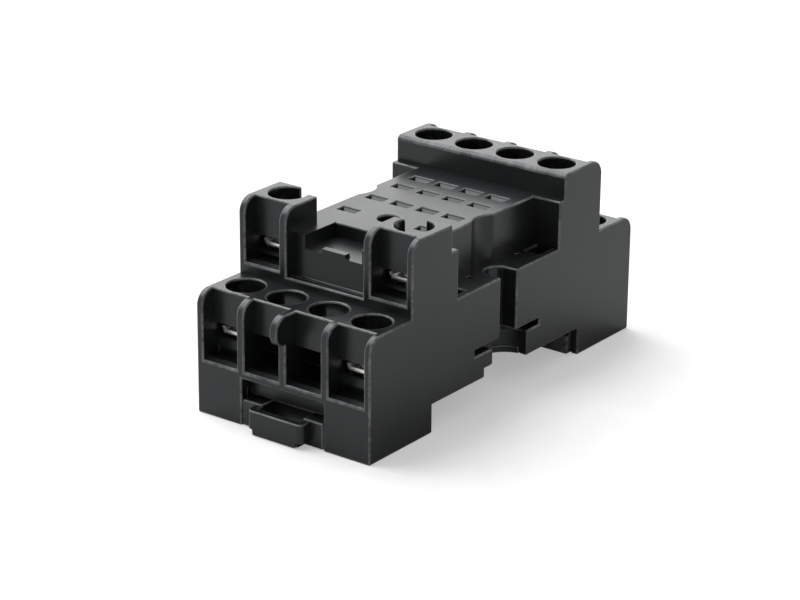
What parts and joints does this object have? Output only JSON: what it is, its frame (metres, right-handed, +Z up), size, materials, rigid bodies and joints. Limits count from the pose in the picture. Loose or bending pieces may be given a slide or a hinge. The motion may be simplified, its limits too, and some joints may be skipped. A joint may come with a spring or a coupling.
{
  "type": "relay socket",
  "caption": "Rail-mounted plug-in relay socket with stepped rows of finger-safe screw terminals and a sliding rail latch.",
  "frame": {"origin": "middle of the footprint, under the middle of the length with the nose, on the plane the feet stand on", "axes": "+X is the width, to the right seen from the latch; +Y runs from the latch end to the rear; +Z is up, towards the relay"},
  "size_m": [0.0296, 0.0644, 0.0285],
  "materials": {
    "housing_grey": "fine texture",
    "base_grey": "fine texture",
    "latch_grey": "smooth",
    "spring_steel": "bright",
    "contact_brass": "satin",
    "clamp_steel": "plated",
    "screw_steel": "plated"
  },
  "bodies": {
    "socket": {"housing": "housing_grey", "base_plate": "base_grey", "contact_common_left": "contact_brass", "contact_common_right": "contact_brass", "contact_coil_left": "contact_brass", "contact_coil_right": "contact_brass", "contact_closed_left": "contact_brass", "contact_closed_right": "contact_brass", "contact_open_left": "contact_brass", "contact_open_right": "contact_brass"},
    "latch": {"rail_latch": "latch_grey", "latch_spring": "spring_steel"},
    "clamp_common_left_body": {"clamp_common_left": "clamp_steel"},
    "screw_common_left_body": {"screw_common_left": "screw_steel"},
    "clamp_common_right_body": {"clamp_common_right": "clamp_steel"},
    "screw_common_right_body": {"screw_common_right": "screw_steel"},
    "clamp_coil_left_body": {"clamp_coil_left": "clamp_steel"},
    "screw_coil_left_body": {"screw_coil_left": "screw_steel"},
    "clamp_coil_right_body": {"clamp_coil_right": "clamp_steel"},
    "screw_coil_right_body": {"screw_coil_right": "screw_steel"},
    "clamp_closed_left_body": {"clamp_closed_left": "clamp_steel"},
    "screw_closed_left_body": {"screw_closed_left": "screw_steel"},
    "clamp_closed_right_body": {"clamp_closed_right": "clamp_steel"},
    "screw_closed_right_body": {"screw_closed_right": "screw_steel"},
    "clamp_open_left_body": {"clamp_open_left": "clamp_steel"},
    "screw_open_left_body": {"screw_open_left": "screw_steel"},
    "clamp_open_right_body": {"clamp_open_right": "clamp_steel"},
    "screw_open_right_body": {"screw_open_right": "screw_steel"}
  },
  "joints": [
    {"name": "latch_slide", "type": "slide", "parent": "socket", "child": "latch", "axis": [0, -1, 0], "range_m": [0, 0.0022], "stiffness_N_per_m": 1500, "springref_m": -0.001, "deforming": ["latch_spring"]},
    {"name": "clamp_common_left_lift", "type": "slide", "parent": "socket", "child": "clamp_common_left_body", "axis": [0, 0, 1], "range_m": [0, 0.002]},
    {"name": "screw_common_left_turn", "type": "hinge", "parent": "clamp_common_left_body", "child": "screw_common_left_body", "pos_m": [-0.01073, -0.02475, 0.011], "axis": [0, 0, 1], "range_deg": [0, 1445]},
    {"name": "clamp_common_right_lift", "type": "slide", "parent": "socket", "child": "clamp_common_right_body", "axis": [0, 0, 1], "range_m": [0, 0.002]},
    {"name": "screw_common_right_turn", "type": "hinge", "parent": "clamp_common_right_body", "child": "screw_common_right_body", "pos_m": [0.01073, -0.02475, 0.011], "axis": [0, 0, 1], "range_deg": [0, 1445]},
    {"name": "clamp_coil_left_lift", "type": "slide", "parent": "socket", "child": "clamp_coil_left_body", "axis": [0, 0, 1], "range_m": [0, 0.002]},
    {"name": "screw_coil_left_turn", "type": "hinge", "parent": "clamp_coil_left_body", "child": "screw_coil_left_body", "pos_m": [-0.01073, -0.01568, 0.0211], "axis": [0, 0, 1], "range_deg": [0, 1445]},
    {"name": "clamp_coil_right_lift", "type": "slide", "parent": "socket", "child": "clamp_coil_right_body", "axis": [0, 0, 1], "range_m": [0, 0.002]},
    {"name": "screw_coil_right_turn", "type": "hinge", "parent": "clamp_coil_right_body", "child": "screw_coil_right_body", "pos_m": [0.01073, -0.01568, 0.0211], "axis": [0, 0, 1], "range_deg": [0, 1445]},
    {"name": "clamp_closed_left_lift", "type": "slide", "parent": "socket", "child": "clamp_closed_left_body", "axis": [0, 0, 1], "range_m": [0, 0.002]},
    {"name": "screw_closed_left_turn", "type": "hinge", "parent": "clamp_closed_left_body", "child": "screw_closed_left_body", "pos_m": [-0.01073, 0.01801, 0.0211], "axis": [0, 0, 1], "range_deg": [0, 1445]},
    {"name": "clamp_closed_right_lift", "type": "slide", "parent": "socket", "child": "clamp_closed_right_body", "axis": [0, 0, 1], "range_m": [0, 0.002]},
    {"name": "screw_closed_right_turn", "type": "hinge", "parent": "clamp_closed_right_body", "child": "screw_closed_right_body", "pos_m": [0.01073, 0.01801, 0.0211], "axis": [0, 0, 1], "range_deg": [0, 1445]},
    {"name": "clamp_open_left_lift", "type": "slide", "parent": "socket", "child": "clamp_open_left_body", "axis": [0, 0, 1], "range_m": [0, 0.002]},
    {"name": "screw_open_left_turn", "type": "hinge", "parent": "clamp_open_left_body", "child": "screw_open_left_body", "pos_m": [-0.01073, 0.02655, 0.011], "axis": [0, 0, 1], "range_deg": [0, 1445]},
    {"name": "clamp_open_right_lift", "type": "slide", "parent": "socket", "child": "clamp_open_right_body", "axis": [0, 0, 1], "range_m": [0, 0.002]},
    {"name": "screw_open_right_turn", "type": "hinge", "parent": "clamp_open_right_body", "child": "screw_open_right_body", "pos_m": [0.01073, 0.02655, 0.011], "axis": [0, 0, 1], "range_deg": [0, 1445]}
  ],
  "couplings": [
    {"joint": "screw_common_left_turn", "follows": "clamp_common_left_lift", "rad_per_m": 12566},
    {"joint": "screw_common_right_turn", "follows": "clamp_common_right_lift", "rad_per_m": 12566},
    {"joint": "screw_coil_left_turn", "follows": "clamp_coil_left_lift", "rad_per_m": 12566},
    {"joint": "screw_coil_right_turn", "follows": "clamp_coil_right_lift", "rad_per_m": 12566},
    {"joint": "screw_closed_left_turn", "follows": "clamp_closed_left_lift", "rad_per_m": 12566},
    {"joint": "screw_closed_right_turn", "follows": "clamp_closed_right_lift", "rad_per_m": 12566},
    {"joint": "screw_open_left_turn", "follows": "clamp_open_left_lift", "rad_per_m": 12566},
    {"joint": "screw_open_right_turn", "follows": "clamp_open_right_lift", "rad_per_m": 12566}
  ]
}
